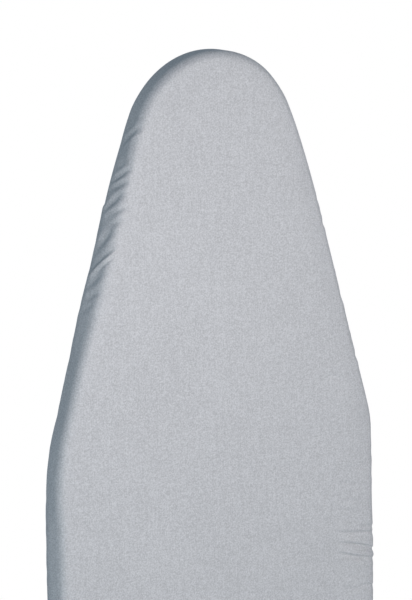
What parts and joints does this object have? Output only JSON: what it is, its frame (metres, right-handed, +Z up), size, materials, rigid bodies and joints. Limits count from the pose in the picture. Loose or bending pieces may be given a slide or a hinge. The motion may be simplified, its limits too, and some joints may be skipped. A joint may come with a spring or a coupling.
{
  "type": "ironing board cover",
  "caption": "Padded ironing board cover with a tapered round nose, a turned-under elastic hem, a nose pocket and hook-and-loop straps across its underside.",
  "frame": {"origin": "on the plane that the hem rests on, under the middle of the cover", "axes": "+Y along the cover towards its nose, +Z up out of the pressing face, +X to the right of the nose"},
  "size_m": [0.39, 1.381, 0.0329],
  "materials": {
    "metallised_cotton": "silver metallised weave, satin",
    "foam": "open-cell foam, matte",
    "felt": "needled felt, matte",
    "binding": "cotton tape, matte",
    "elastic": "braided elastic, matte",
    "webbing": "woven webbing, matte",
    "fastener": "hook and loop tape, matte"
  },
  "bodies": {
    "cover": {"top_cover": "metallised_cotton", "foam_pad": "foam", "felt_underlay": "felt", "nose_pocket": "metallised_cotton", "pocket_hem_tape": "binding", "hem_casing": "binding", "hem_elastic": "elastic", "strap_anchor_1": "webbing", "strap_anchor_2": "webbing", "strap_anchor_3": "webbing", "loop_tape_1": "fastener", "loop_tape_2": "fastener", "loop_tape_3": "fastener", "loop_tab_1": "webbing", "loop_tab_2": "webbing", "loop_tab_3": "webbing"},
    "strap_1": {"strap_band_1": "webbing", "hook_tape_1": "fastener"},
    "strap_2": {"strap_band_2": "webbing", "hook_tape_2": "fastener"},
    "strap_3": {"strap_band_3": "webbing", "hook_tape_3": "fastener"}
  },
  "joints": [
    {"name": "strap_1_opens", "type": "hinge", "parent": "cover", "child": "strap_1", "pos_m": [-0.1359, 0.1458, 0.0035], "axis": [0, 1, 0], "range_deg": [0, 100]},
    {"name": "strap_2_opens", "type": "hinge", "parent": "cover", "child": "strap_2", "pos_m": [-0.1359, -0.1801, 0.0035], "axis": [0, 1, 0], "range_deg": [0, 100]},
    {"name": "strap_3_opens", "type": "hinge", "parent": "cover", "child": "strap_3", "pos_m": [-0.1359, -0.506, 0.0035], "axis": [0, 1, 0], "range_deg": [0, 100]}
  ]
}
